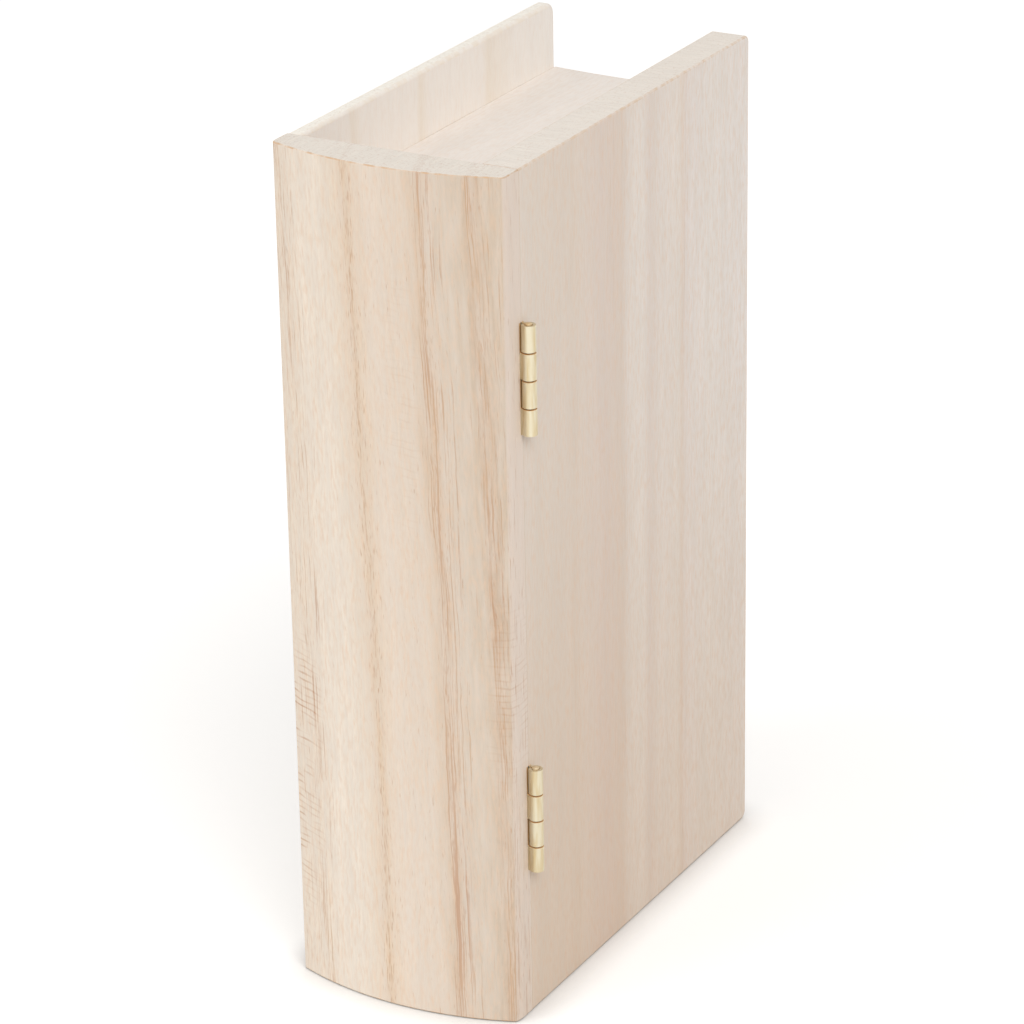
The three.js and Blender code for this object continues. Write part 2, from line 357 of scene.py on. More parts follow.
def growth_rings(tree, wood, reach, rings, vessels, look):
    """The bent grain as a vector, the ring tones, and the vessels' crowding by channel."""
    rise = add(tree, "ShaderNodeMath", {0: wood["height"], 1: BOW_POWER}, operation="POWER")
    drift = add(tree, "ShaderNodeMath", {0: rise.outputs[0], 1: -look["bow"], 2: wood["across"]},
                operation="MULTIPLY_ADD")
    slow = add(tree, "ShaderNodeCombineXYZ", {
        "X": drift.outputs[0], "Y": wood["depth"], "Z": wood["along"]}).outputs[0]
    waver = stretched_noise(tree, slow, WAVER_SIZE, detail=2,
                            between=(-look["waver"], look["waver"]))
    quiver = stretched_noise(tree, slow, QUIVER_SIZE, detail=1, between=(-QUIVER, QUIVER))
    sway = add(tree, "ShaderNodeMath", {0: waver, 1: quiver}, operation="ADD")
    bent = add(tree, "ShaderNodeMath", {0: drift.outputs[0], 1: sway.outputs[0]}, operation="ADD")
    grain = add(tree, "ShaderNodeCombineXYZ", {
        "X": bent.outputs[0], "Y": wood["depth"], "Z": wood["along"]})

    ring = add(tree, "ShaderNodeMath", {0: wood["depth"], 1: look["tilt"], 2: bent.outputs[0]},
               operation="MULTIPLY_ADD")
    start, span = reach[0], reach[1] - reach[0]
    share = add(tree, "ShaderNodeMapRange", {
        "Value": ring.outputs[0], "From Min": reach[0], "From Max": reach[1]})
    tones = add(tree, "ShaderNodeValToRGB", {"Fac": share.outputs[0]})
    set_stops(tones, [((mm - start) / span, tone(colour)) for mm, colour in rings])
    crowd = add(tree, "ShaderNodeValToRGB", {"Fac": share.outputs[0]})
    set_stops(crowd, [((mm - start) / span, (lines, dashes, 0, 1))
                      for mm, lines, dashes in vessels])
    crowds = add(tree, "ShaderNodeSeparateColor", {"Color": crowd.outputs[0]})
    return grain.outputs[0], tones.outputs[0], crowds.outputs


print("rings drift with the height to the power of", BOW_POWER)

# %% [markdown]
# ## Fibres
#
# Three widths of noise lie on each other, because wood looks fibrous from close by and streaky
# from further off. They make the ring tones a few per cent lighter or darker. Specks of peach and
# of ash grey keep the plain wood between the rings from looking painted.

# %% Fibres
# Width and length in millimetres
FINE_FIBRE, MIDDLE_FIBRE, BROAD_FIBRE = (0.30, 2.4), (0.8, 22), (5, 45)
PEACH_SIZE, ASH_SIZE = (0.7, 3.0), (1.6, 14)
FINE_WEIGHT = 1.5
PEACH, ASH = "#e3c3a6", "#dfd5ca"


def fibrous_tone(tree, grain, ring_tone, fine, middle, broad, look):
    """The ring tone, shaded by fibres and blushed in specks."""
    mixed = add(tree, "ShaderNodeMath", {0: fine, 1: FINE_WEIGHT, 2: middle},
                operation="MULTIPLY_ADD")
    mixed = add(tree, "ShaderNodeMath", {0: mixed.outputs[0], 1: broad}, operation="ADD")
    shade = add(tree, "ShaderNodeMapRange", {
        "Value": mixed.outputs[0], "From Min": 1.25, "From Max": 2.25,
        "To Min": 1 - look["fibre"], "To Max": 1 + look["fibre"]}, clamp=False)
    shaded = add(tree, "ShaderNodeVectorMath", {0: ring_tone, "Scale": shade.outputs[0]},
                 operation="SCALE")
    most = look["blush"]
    peach = stretched_noise(tree, grain, PEACH_SIZE, detail=2, between=(-0.6 * most, most))
    peachy = add(tree, "ShaderNodeMix", {
        0: peach, COLOUR_A: shaded.outputs[0], COLOUR_B: tone(PEACH)}, data_type="RGBA")
    ash = stretched_noise(tree, grain, ASH_SIZE, detail=2, between=(-0.1, most))
    return add(tree, "ShaderNodeMix", {
        0: ash, COLOUR_A: peachy.outputs[MIXED], COLOUR_B: tone(ASH)},
        data_type="RGBA").outputs[MIXED]


print("fine fibres are", FINE_FIBRE[0], "mm wide")

# %% [markdown]
# ## Open vessels
#
# A vessel is a tube a third of a millimetre wide. Where it lies along the surface it is a long
# thin line, broken into a chain, and where it dips in and out it is a short dash. Each kind is a
# stretched noise cut off at a level: the more crowded the ring there, the lower the cut.

# %% Open vessels
# Channel of the crowding, width and length in millimetres, and how strongly chains break it up
LONG_LINES = ("Red", (0.34, 30), 0.16)
SHORT_DASHES = ("Green", (0.26, 3.0), 0.10)
CHAIN_SIZE = (0.5, 2.0)
SPARSE_CUT, CROWDED_CUT = 0.78, 0.42
VESSEL_SOFTNESS = 0.16


def open_vessels(tree, grain, crowds, darkness):
    """How far each point is inside a vessel, from 0 to the given darkness."""
    mark = 0.0
    chain = stretched_noise(tree, grain, CHAIN_SIZE, detail=1)
    for channel, size, chained in (LONG_LINES, SHORT_DASHES):
        streaks = stretched_noise(tree, grain, size, detail=1)
        broken = add(tree, "ShaderNodeMath", {0: chain, 1: chained, 2: streaks},
                     operation="MULTIPLY_ADD")
        cut = add(tree, "ShaderNodeMapRange", {
            "Value": crowds[channel], "To Min": SPARSE_CUT + chained / 2,
            "To Max": CROWDED_CUT + chained / 2})
        over = add(tree, "ShaderNodeMath", {0: broken.outputs[0], 1: cut.outputs[0]},
                   operation="SUBTRACT")
        shown = add(tree, "ShaderNodeMapRange", {
            "Value": over.outputs[0], "From Min": 0.0, "From Max": VESSEL_SOFTNESS,
            "To Max": darkness})
        mark = add(tree, "ShaderNodeMath", {0: shown.outputs[0], 1: mark},
                   operation="MAXIMUM").outputs[0]
    return mark


print("vessels are", LONG_LINES[1][0], "mm wide")

# %% [markdown]
# ## Ray flecks
#
# Rays are ribbons that run from the bark to the heart of a tree. Where a board happens to be sawn
# along them they show as short marks across the grain, like the rungs of a ladder. A wave texture
# gives the rungs, noise shortens them, and soft round patches say where on the board they are.

# %% Ray flecks
FLECK_STEP = 1.8
FLECK_SIZE = (4.5, 4.0)
FLECK_TILT = math.radians(5)
# A wave texture of scale 1 has its bands this far apart
BAND_STEP = math.tau / 20


def ray_flecks(tree, wood, grain, patches, mark):
    """Adds flecks to the vessels' mark. A patch is its centre and size in mm, and its strength."""
    turned_grain = add(tree, "ShaderNodeMapping", {"Vector": grain, "Rotation": (0, FLECK_TILT, 0)})
    rungs = add(tree, "ShaderNodeTexWave", {
        "Vector": turned_grain.outputs[0], "Scale": BAND_STEP / FLECK_STEP,
        "Distortion": 2.2, "Detail": 0.0, "Detail Scale": 1.2},
        wave_type="BANDS", bands_direction="Z")
    thin = add(tree, "ShaderNodeMapRange", {
        "Value": rungs.outputs["Fac"], "From Min": 0.72, "From Max": 1.0})
    short = stretched_noise(tree, grain, FLECK_SIZE, detail=0, between=(-0.4, 1.4))
    flecks = add(tree, "ShaderNodeMath", {0: thin.outputs[0], 1: short}, operation="MULTIPLY",
                 use_clamp=True)
    for centre, size, strength in patches:
        spot = add(tree, "ShaderNodeMapping", {
            "Vector": wood["place"], "Location": centre, "Scale": size}, vector_type="TEXTURE")
        patch = add(tree, "ShaderNodeTexGradient", {"Vector": spot.outputs[0]},
                    gradient_type="SPHERICAL")
        shown = add(tree, "ShaderNodeMath", {0: patch.outputs["Fac"], 1: flecks.outputs[0]},
                    operation="MULTIPLY")
        mark = add(tree, "ShaderNodeMath", {0: shown.outputs[0], 1: strength, 2: mark},
                   operation="MULTIPLY_ADD", use_clamp=True).outputs[0]
    return mark


print("ray flecks every", FLECK_STEP, "mm")

# %% [markdown]
# ## Painted light on flat sides, sawn ends and rubbed edges
#
# Some faces look different from the rest, and three marks that are made during modelling say which:
# one for the spine's flat sides, `end_grain` for sawn ends and `arris` for the rounded edges. The
# flat sides are painted paler between their vessels, most of all near the head: painted light,
# which lifts the painted shade of the ring tones there. Sawn ends show the vessels as fine dots,
# with faint saw marks in place of the fibres. Edges are burnished by the sanding block, here more
# and there less.

# %% Painted light and worked faces
PAINTED_LIGHT_TONE = "#f7e9df"
SAW_MARK_SIZE = (0.9, 6.0, 3.0)
SAW_TILT = math.radians(12)
DOT_SIZE = (0.55, 0.55)
END_VESSELS = 0.35
RUB_SIZE = (2.2, 9)


def painted_light_side(tree, wood, surface):
    """The surface, painted paler on the marked flat sides: painted light."""
    is_lit_side = add(tree, "ShaderNodeAttribute", attribute_name="painted_light")
    # Painted light: the share of the paler tone grows towards the head
    lighter_to_head = add(tree, "ShaderNodeMapRange", {
        "Value": wood["height"], "From Min": 0.0, "From Max": 0.6, "To Min": 0.37, "To Max": 0.6})
    painted_light_share = add(tree, "ShaderNodeMath", {0: is_lit_side.outputs["Fac"], 1: lighter_to_head.outputs[0]},
                  operation="MULTIPLY")
    return add(tree, "ShaderNodeMix", {
        0: painted_light_share.outputs[0], COLOUR_A: surface, COLOUR_B: tone(PAINTED_LIGHT_TONE)},
        data_type="RGBA").outputs[MIXED]


def sawn_ends(tree, sawn, surface, mark, end_tone, vessel_tone):
    """The surface, with the look of a sawn end where the piece is marked as one."""
    strokes = add(tree, "ShaderNodeMapping", {
        "Vector": sawn, "Rotation": (0, 0, SAW_TILT), "Scale": [1 / mm for mm in SAW_MARK_SIZE]})
    mottle = add(tree, "ShaderNodeTexNoise", {
        "Vector": strokes.outputs[0], "Scale": 1.0, "Detail": 3.0, "Roughness": 0.6})
    mottled = add(tree, "ShaderNodeMapRange", {
        "Value": mottle.outputs["Fac"], "From Min": 0.3, "From Max": 0.7,
        "To Min": 0.955, "To Max": 1.04})
    end_grain = add(tree, "ShaderNodeVectorMath", {
        0: tone(end_tone)[:3], "Scale": mottled.outputs[0]}, operation="SCALE")
    dots = add(tree, "ShaderNodeMapRange", {
        "Value": stretched_noise(tree, sawn, DOT_SIZE, detail=1),
        "From Min": 0.56, "From Max": 0.72, "To Max": 0.22})
    pores = add(tree, "ShaderNodeMath", {0: mark, 1: END_VESSELS, 2: dots.outputs[0]},
                operation="MULTIPLY_ADD")
    dotted = add(tree, "ShaderNodeMix", {
        0: pores.outputs[0], COLOUR_A: end_grain.outputs[0], COLOUR_B: tone(vessel_tone)},
        data_type="RGBA")
    is_end = add(tree, "ShaderNodeAttribute", attribute_name="end_grain")
    return add(tree, "ShaderNodeMix", {
        0: is_end.outputs["Fac"], COLOUR_A: surface, COLOUR_B: dotted.outputs[MIXED]},
        data_type="RGBA").outputs[MIXED]


def rubbed_edges(tree, sawn, surface, arris_tone):
    """The surface, burnished in patches where the piece is marked as an arris."""
    is_arris = add(tree, "ShaderNodeAttribute", attribute_name="arris")
    rubbed = add(tree, "ShaderNodeMapRange", {
        "Value": stretched_noise(tree, sawn, RUB_SIZE, detail=2),
        "From Min": 0.42, "From Max": 0.62, "To Min": 0.1, "To Max": 0.8})
    burnish = add(tree, "ShaderNodeMath", {0: is_arris.outputs["Fac"], 1: rubbed.outputs[0]},
                  operation="MULTIPLY")
    return add(tree, "ShaderNodeMix", {
        0: burnish.outputs[0], COLOUR_A: surface, COLOUR_B: tone(arris_tone)},
        data_type="RGBA").outputs[MIXED]


print("worked faces: planed, end_grain, arris")

# %% [markdown]
# ## The whole paulownia finish
#
# One function lays the parts over each other, so that every board can have its own rings and tones.
# Head and tail each have a tint, which is painted shade: it darkens a board a little towards one
# end, standing in for light that falls unevenly along it. The vessels' own colour wanders between
# brown and ochre. Vessels and fibres are shallow grooves, a few hundredths of a millimetre deep,
# and a bump texture is enough for those.

# %% Paulownia material
GROOVE_DEPTH = 0.06 * MM
WOOD_IOR = 1.45
USUAL_LOOK = {
    "bow": 0.0, "tilt": 0.35, "waver": 0.9, "fibre": 0.06, "speckle": 0.62, "blush": 0.5,
    "flecks": (), "vessel_tone": "#bb8c6c", "ochre": "#c7a480", "head_tint": "#ffffff",
    "tail_tint": "#ffffff", "tint_reach": 1.0,
}


def paulownia(name, axes, reach, rings, vessels, end_tone, arris_tone, **own_look):
    """Sanded paulownia. Axes name which of X, Y, Z run across, in depth and along the grain."""
    look = {**USUAL_LOOK, **own_look}
    material, tree, output = new_material(name)
    wood = wood_directions(tree, axes)
    grain, ring_tone, crowds = growth_rings(tree, wood, reach, rings, vessels, look)
    fine = stretched_noise(tree, grain, FINE_FIBRE, detail=3)
    middle = stretched_noise(tree, grain, MIDDLE_FIBRE, detail=3)
    broad = stretched_noise(tree, grain, BROAD_FIBRE, detail=2)

    fibrous = fibrous_tone(tree, grain, ring_tone, fine, middle, broad, look)
    mark = open_vessels(tree, grain, crowds, look["speckle"])
    if look["flecks"]:
        mark = ray_flecks(tree, wood, grain, look["flecks"], mark)
    wander = add(tree, "ShaderNodeMapRange", {
        "Value": broad, **MIDDLE_HALF, "To Min": -0.2, "To Max": 1.0})
    vessel_tone = add(tree, "ShaderNodeMix", {
        0: wander.outputs[0], COLOUR_A: tone(look["vessel_tone"]), COLOUR_B: tone(look["ochre"])},
        data_type="RGBA")
    long_grain = add(tree, "ShaderNodeMix", {
        0: mark, COLOUR_A: painted_light_side(tree, wood, fibrous), COLOUR_B: vessel_tone.outputs[MIXED]},
        data_type="RGBA").outputs[MIXED]

    sawn = add(tree, "ShaderNodeCombineXYZ", {
        "X": wood["across"], "Y": wood["depth"], "Z": wood["along"]}).outputs[0]
    ended = sawn_ends(tree, sawn, long_grain, mark, end_tone, look["vessel_tone"])
    rounded = rubbed_edges(tree, sawn, ended, arris_tone)

    # Painted shade: the board is darkened a little towards its head or its tail
    towards_head = add(tree, "ShaderNodeMapRange", {
        "Value": wood["height"], "From Min": 0.0, "From Max": look["tint_reach"]},
        interpolation_type="SMOOTHSTEP")
    painted_shade_by_height = add(tree, "ShaderNodeMix", {
        0: towards_head.outputs[0], COLOUR_A: tone(look["tail_tint"]),
        COLOUR_B: tone(look["head_tint"])}, data_type="RGBA")
    finished = add(tree, "ShaderNodeVectorMath", {0: rounded, 1: painted_shade_by_height.outputs[MIXED]},
                   operation="MULTIPLY")

    ridge = add(tree, "ShaderNodeMath", {0: mark, 1: -1.0, 2: fine}, operation="MULTIPLY_ADD")
    relief = add(tree, "ShaderNodeBump", {
        "Height": ridge.outputs[0], "Strength": 0.35, "Distance": GROOVE_DEPTH})
    dull = add(tree, "ShaderNodeMapRange", {
        "Value": middle, "From Min": 0.3, "From Max": 0.7, "To Min": 0.60, "To Max": 0.74})
    shader = add(tree, "ShaderNodeBsdfPrincipled", {
        "Base Color": finished.outputs[0], "Roughness": dull.outputs[0],
        "Normal": relief.outputs[0], "IOR": WOOD_IOR})
    tree.links.new(shader.outputs[0], output.inputs["Surface"])
    print(name, len(tree.nodes), "nodes")
    return material


print("usual look:", USUAL_LOOK)

# %% [markdown]
# ## The spine's rings
#
# Every board was sawn from another place in the log, so each gets its own ring layout: a list of
# distances across the board in millimetres. One list gives the tone there, the other how crowded
# the long vessel lines and the short dashes are. The spine shows four rings, each with a streaky
# tan edge. Its tones also hold painted light and shade across the round face: pale towards the far
# edge, and darker step by step towards the side by the lid, which lies in shade.

# %% Spine wood
PALE, CREAM, HONEY, TAN = "#ede1d2", "#e7d9c8", "#e4d2be", "#dec9b1"
# Painted shade: these tones, and the darker ones up to 20 mm, darken the spine's side by the lid
SHADED, SHADED_TAN = "#cfbda9", "#ccb6a0"
SPINE_RINGS = (
    (-9.0, SHADED), (-2.0, SHADED), (0.5, SHADED_TAN), (2.6, SHADED_TAN), (4.0, SHADED),
    (9.0, "#d4c5b4"), (12.6, "#d7c7b6"), (14.6, "#d4bfaa"), (16.6, "#d5c0aa"), (20.0, "#decebd"),
    (29.0, "#e4d5c5"), (32.5, HONEY), (34.6, TAN), (36.5, HONEY), (39.0, CREAM), (43.0, PALE),
    (49.0, "#efe3d4"), (53.0, "#ecdecd"), (62.0, "#ecdecd"),
)
SPINE_VESSELS = (
    (-9.0, 0.3, 0.2), (-3.0, 0.5, 0.3), (0.3, 0.65, 0.5), (1.8, 0.85, 0.55), (3.2, 0.5, 0.35),
    (4.5, 0.2, 0.25), (7.5, 0.2, 0.2), (9.3, 0.35, 0.3), (9.8, 0.9, 0.35), (10.3, 0.3, 0.3),
    (11.2, 0.35, 0.3), (11.6, 1.0, 0.4), (12.0, 0.35, 0.35), (12.5, 1.0, 0.45), (13.1, 0.45, 0.4),
    (14.0, 0.65, 0.5), (14.8, 1.0, 0.7), (15.7, 0.9, 0.5), (16.6, 0.7, 0.4), (17.5, 0.15, 0.32),
    (24.0, 0.15, 0.27), (31.0, 0.15, 0.3), (33.2, 0.2, 0.5), (34.8, 0.4, 0.8), (36.3, 0.2, 0.45),
    (38.5, 0.1, 0.2), (48.0, 0.1, 0.1), (51.0, 0.55, 0.25), (54.0, 0.65, 0.35), (58.0, 0.45, 0.35),
    (62.0, 0.5, 0.35),
)
# Painted shade: the head tint darkens the spine a little towards the head, where the lamps light it
# more
spine_wood = paulownia(
    "bare_sanded_paulownia_spine", "YXZ", (-9.0, 62.0), SPINE_RINGS, SPINE_VESSELS,
    end_tone="#eee7dd", arris_tone="#d3ae88", bow=7.3, waver=0.7, tilt=-0.35, head_tint="#f8f7f6",
    flecks=(((0, 62, 73), (30, 11, 26), 1.0), ((0, 62, 40), (30, 10, 26), 0.75),
            ((0, 25, 160), (30, 7, 50), 0.15), ((0, 2, 88), (30, 6, 30), 0.35)),
)

# %% [markdown]
# ## The covers' rings
#
# The covers are quarter-sawn: the rings stand upright in the board, so their stripes are straight
# and faint. The lid is the darker of the two. It has a tan stripe by the spine, lighter wood from
# the middle on and a few thin lines. The back cover is a very even, nearly white board.

# %% Cover wood
LID_RINGS = (
    (6.0, "#e5d8cc"), (12.0, "#e3d6c9"), (28.0, "#e2d4c7"), (31.0, "#e1d2c4"), (36.0, "#e4d6ca"),
    (46.0, "#e1d1c6"), (56.0, "#e0d0c3"), (59.0, "#e6dbd2"), (62.0, "#e9dfd6"), (67.0, "#ebe2da"),
    (71.0, "#e4d7ce"), (73.5, "#e6dad1"), (76.0, "#e9dfd7"), (87.0, "#eae0d7"), (89.0, "#e6d7cb"),
    (90.5, "#e9ded7"), (94.0, "#ebe2dc"), (104.0, "#ece4dd"), (118.0, "#ece4de"),
    (126.0, "#efe8e3"),
)
LID_VESSELS = (
    (6.0, 0.15, 0.1), (28.0, 0.2, 0.15), (32.0, 0.35, 0.2), (38.0, 0.2, 0.15), (54.0, 0.35, 0.2),
    (57.5, 0.4, 0.3), (60.0, 0.1, 0.1), (72.0, 0.15, 0.1), (74.0, 0.3, 0.15), (77.0, 0.15, 0.1),
    (88.0, 0.2, 0.1), (90.3, 0.5, 0.4), (93.0, 0.15, 0.1), (126.0, 0.1, 0.1),
)
# Painted shade: the tail tint darkens and warms the lid towards the tail, which lies in more shade
lid_wood = paulownia(
    "bare_sanded_paulownia_lid", "XYZ", (6.0, 134.0), LID_RINGS, LID_VESSELS,
    end_tone="#eae2d8", arris_tone="#dcc4ab", bow=2.0, waver=0.6, fibre=0.043, speckle=0.32,
    blush=0.42, vessel_tone="#c4a184", ochre="#cbb190", tail_tint="#f9f2ea", tint_reach=0.8,
)

BRIGHT, BRIGHT_STREAK = "#f5efe8", "#f1e8dc"
BACK_RINGS = (
    (0.0, BRIGHT), (22.0, BRIGHT), (24.0, BRIGHT_STREAK), (28.0, BRIGHT), (51.0, BRIGHT),
    (53.0, BRIGHT_STREAK), (58.0, BRIGHT), (84.0, BRIGHT), (86.0, BRIGHT_STREAK), (90.0, BRIGHT),
    (118.0, BRIGHT), (121.0, BRIGHT_STREAK), (134.0, BRIGHT),
)
BACK_VESSELS = tuple((mm, 0.2, 0.15) if colour == BRIGHT_STREAK else (mm, 0.1, 0.1)
                     for mm, colour in BACK_RINGS)
back_wood = paulownia(
    "bare_sanded_paulownia_back", "XYZ", (0.0, 134.0), BACK_RINGS, BACK_VESSELS,
    end_tone="#f8f3e9", arris_tone="#f1e6d7", bow=-3.0, waver=1.4, speckle=0.2, fibre=0.02,
    blush=0.12,
)

# %% [markdown]
# ## The page block's rings
#
# The three walls come from the same pale stock, so they share one layout. The grain of the end
# walls runs from the spine to the fore edge, and that of the fore-edge wall runs upright.

# %% Page block wood
PAGE_RINGS = (
    (0.0, "#efe8e0"), (14.0, "#eee6dd"), (19.0, "#ece2d8"), (24.0, "#f0e8df"), (38.0, "#f2ebe4"),
    (43.0, "#eee3d9"), (49.0, "#f1e9e1"), (66.0, "#f2ebe4"),
)
PAGE_VESSELS = (
    (0.0, 0.1, 0.1), (17.0, 0.1, 0.1), (19.0, 0.4, 0.2), (22.0, 0.1, 0.1), (41.0, 0.1, 0.1),
    (43.0, 0.4, 0.2), (46.0, 0.1, 0.1), (66.0, 0.1, 0.1),
)
end_wall_wood = paulownia(
    "bare_sanded_paulownia_end_walls", "YZX", (0.0, 66.0), PAGE_RINGS, PAGE_VESSELS,
    end_tone="#e6dccf", arris_tone="#e0cbb2", waver=1.6, speckle=0.22, fibre=0.025, tilt=0.2,
    blush=0.2,
)
fore_wall_wood = paulownia(
    "bare_sanded_paulownia_fore_edge", "YXZ", (0.0, 66.0), PAGE_RINGS, PAGE_VESSELS,
    end_tone="#e6dccf", arris_tone="#e0cbb2", waver=1.5, speckle=0.3, fibre=0.04, tilt=0.05,
)

# %% [markdown]
# ## Brass for the hinges
#
# The hinges are rolled from thin brass sheet and barrel-polished. Where the polish reached they are
# pale, with soft reflections and fine rubbing marks along the barrels. It didn't reach inside the
# knuckles, between them or the front edge of a leaf, so those faces are marked and keep the golden
# brown of the rolled sheet. These faces are also the crevices, so their tone is partly painted
# light: with it they look warm and less dark in the shade there. Metal colour lives in the base
# colour, with metallic at 1, or lower under the dull skin of oxide that unpolished brass grows.

# %% Brass and nickel
PATCH_WIDTH, PATCH_LENGTH = 1.1 * MM, 9 * MM
RUB_STRETCH = 18
SKIN_ROUGHNESS, SKIN_COVER = 0.2, 0.9
RUB_DEPTH = 0.02 * MM


def polished_metal(name, bright, deep, unpolished_crevice_tone, roughness, rub_width):
    """Polished plate: patches of a deeper tone, and rubbing marks that change the gloss."""
    material, tree, output = new_material(name)
    place = add(tree, "ShaderNodeTexCoord")
    streaked = add(tree, "ShaderNodeMapping", {
        "Vector": place.outputs["Object"],
        "Scale": (1 / PATCH_WIDTH, 1 / PATCH_WIDTH, 1 / PATCH_LENGTH)})
    patches = add(tree, "ShaderNodeTexNoise", {
        "Vector": streaked.outputs[0], "Scale": 1.0, "Detail": 2.0, "Roughness": 0.5})
    rubbed = add(tree, "ShaderNodeMapping", {
        "Vector": place.outputs["Object"],
        "Scale": (1 / rub_width, 1 / rub_width, 1 / (RUB_STRETCH * rub_width))})
    marks = add(tree, "ShaderNodeTexNoise", {
        "Vector": rubbed.outputs[0], "Scale": 1.0, "Detail": 2.0, "Roughness": 0.55})
    colour = add(tree, "ShaderNodeMapRange", {
        "Value": patches.outputs["Fac"], "From Min": 0.42, "From Max": 0.75})
    polished = add(tree, "ShaderNodeMix", {
        0: colour.outputs[0], COLOUR_A: tone(bright), COLOUR_B: tone(deep)}, data_type="RGBA")
    # The unpolished faces lie in the crevices: their warm, less metallic look is partly painted
    # light there
    dull_and_crevice_light = add(tree, "ShaderNodeAttribute", attribute_name="unpolished_and_crevice_light")
    base = add(tree, "ShaderNodeMix", {
        0: dull_and_crevice_light.outputs["Fac"], COLOUR_A: polished.outputs[MIXED], COLOUR_B: tone(unpolished_crevice_tone)},
        data_type="RGBA")
    gloss = add(tree, "ShaderNodeMapRange", {
        "Value": marks.outputs["Fac"], "From Min": 0.3, "From Max": 0.7,
        "To Min": roughness - 0.06, "To Max": roughness + 0.10})
    duller = add(tree, "ShaderNodeMath", {
        0: dull_and_crevice_light.outputs["Fac"], 1: SKIN_ROUGHNESS, 2: gloss.outputs[0]},
        operation="MULTIPLY_ADD")
    bare = add(tree, "ShaderNodeMath", {0: dull_and_crevice_light.outputs["Fac"], 1: -SKIN_COVER, 2: 1.0},
               operation="MULTIPLY_ADD")
    relief = add(tree, "ShaderNodeBump", {
        "Height": marks.outputs["Fac"], "Strength": 0.25, "Distance": RUB_DEPTH})
    shader = add(tree, "ShaderNodeBsdfPrincipled", {
        "Base Color": base.outputs[MIXED], "Metallic": bare.outputs[0],
        "Roughness": duller.outputs[0], "Normal": relief.outputs[0]})
    tree.links.new(shader.outputs[0], output.inputs["Surface"])
    return material


# The raw tone is partly painted light: it warms and lightens the shade in the crevices
brass = polished_metal("barrel_polished_brass", bright="#dbd2b9", deep="#cdb98f",
                       unpolished_crevice_tone="#d8b27f", roughness=0.46, rub_width=0.25 * MM)
nickel = polished_metal("bright_nickel_plate", bright="#c9c9c6", deep="#a9a8a3",
                        unpolished_crevice_tone="#8f8d88", roughness=0.24, rub_width=0.3 * MM)
print("metals:", brass.name, nickel.name)

# %% [markdown]
# ## Blocks, arcs and turned parts
#
# Every piece starts as a bmesh, Blender's editable mesh. These helpers make the plain forms: a
# block between two corners, a section with one round side made by spinning a single vertex, and
# a part that is turned on a lathe, made by spinning its profile once round.

# %% Plain forms
TOUCH = 1e-6
ROUND_STEPS = 48


def block(bm, low, high):
    """A closed box between two corners. Returns its vertices."""
    size = Vector(high) - Vector(low)
    place = Matrix.Translation((Vector(low) + Vector(high)) / 2) @ Matrix.Diagonal((*size, 1))
    return bmesh.ops.create_cube(bm, size=1, matrix=place)["verts"]


def arc(bm, start, finish, rise, steps):
    """Edges along +Y from start to finish on an arc that bows towards -X by its rise.

    Returns the first and the last vertex."""
    chord = (finish - start).length
    radius = (chord * chord / 4 + rise * rise) / (2 * rise)
    centre = (start + finish) / 2 + X * (radius - rise)
    sweep = -2 * math.asin(chord / 2 / radius)
    first = bmesh.ops.create_vert(bm, co=start)["vert"][0]
    made = bmesh.ops.spin(bm, geom=[first], cent=centre, axis=Z, angle=sweep, steps=steps)
    last = [item for item in made["geom_last"] if isinstance(item, bmesh.types.BMVert)][0]
    return first, last


def close_outline(bm, first, last, flat_x):
    """Closes an arc with a flat back at flat_x, and fills the section with a face."""
    corners = []
    for end in (first, last):
        made = bmesh.ops.extrude_vert_indiv(bm, verts=[end])["verts"][0]
        made.co.x = flat_x
        corners.append(made)
    bmesh.ops.contextual_create(bm, geom=corners)
    outline = [edge for edge in bm.edges if not edge.link_faces]
    return bmesh.ops.contextual_create(bm, geom=outline)["faces"]


def turned(bm, profile, centre, axis):
    """Spins a profile of (radius, height) pairs round an axis through centre into a solid."""
    sideways = axis.orthogonal().normalized()
    verts = [bmesh.ops.create_vert(bm, co=centre + sideways * radius + axis * height)["vert"][0]
             for radius, height in profile]
    edges = [bm.edges.new(pair) for pair in zip(verts, verts[1:])]
    bmesh.ops.spin(bm, geom=verts + edges, cent=centre, axis=axis, angle=math.tau,
                   steps=ROUND_STEPS, use_merge=True)
    bmesh.ops.remove_doubles(bm, verts=bm.verts[:], dist=TOUCH)
    bmesh.ops.recalc_face_normals(bm, faces=bm.faces[:])


print("turned parts have", ROUND_STEPS, "sides")

# %% [markdown]
# ## Softening and carving
#
# No real edge is knife-sharp, so edges are bevelled, and the new faces are marked for the
# material to burnish. Pockets and holes are cut with a Boolean modifier, which takes one solid
# out of another as a chisel or a drill would.

# %% Edges and cuts
SHARP_ANGLE = math.radians(32)
OVERCUT = 1.0 * MM


def soften(bm, edges, offset, segments=2):
    """Rounds the given edges over and marks the new faces as arrises."""
    mark = bm.faces.layers.float.get("arris") or bm.faces.layers.float.new("arris")
    edges = [edge for edge in edges if edge.is_valid]
    made = bmesh.ops.bevel(
        bm, geom=edges, offset=offset, offset_type="OFFSET", affect="EDGES", segments=segments,
        profile=0.5, material=-1, clamp_overlap=True)
    for face in made["faces"]:
        face[mark] = 1.0


def sharp_edges(bm, keep=lambda edge: True):
    """Edges where two faces meet at more than the sharp angle."""
    return [edge for edge in bm.edges
            if len(edge.link_faces) == 2 and edge.calc_face_angle() > SHARP_ANGLE and keep(edge)]


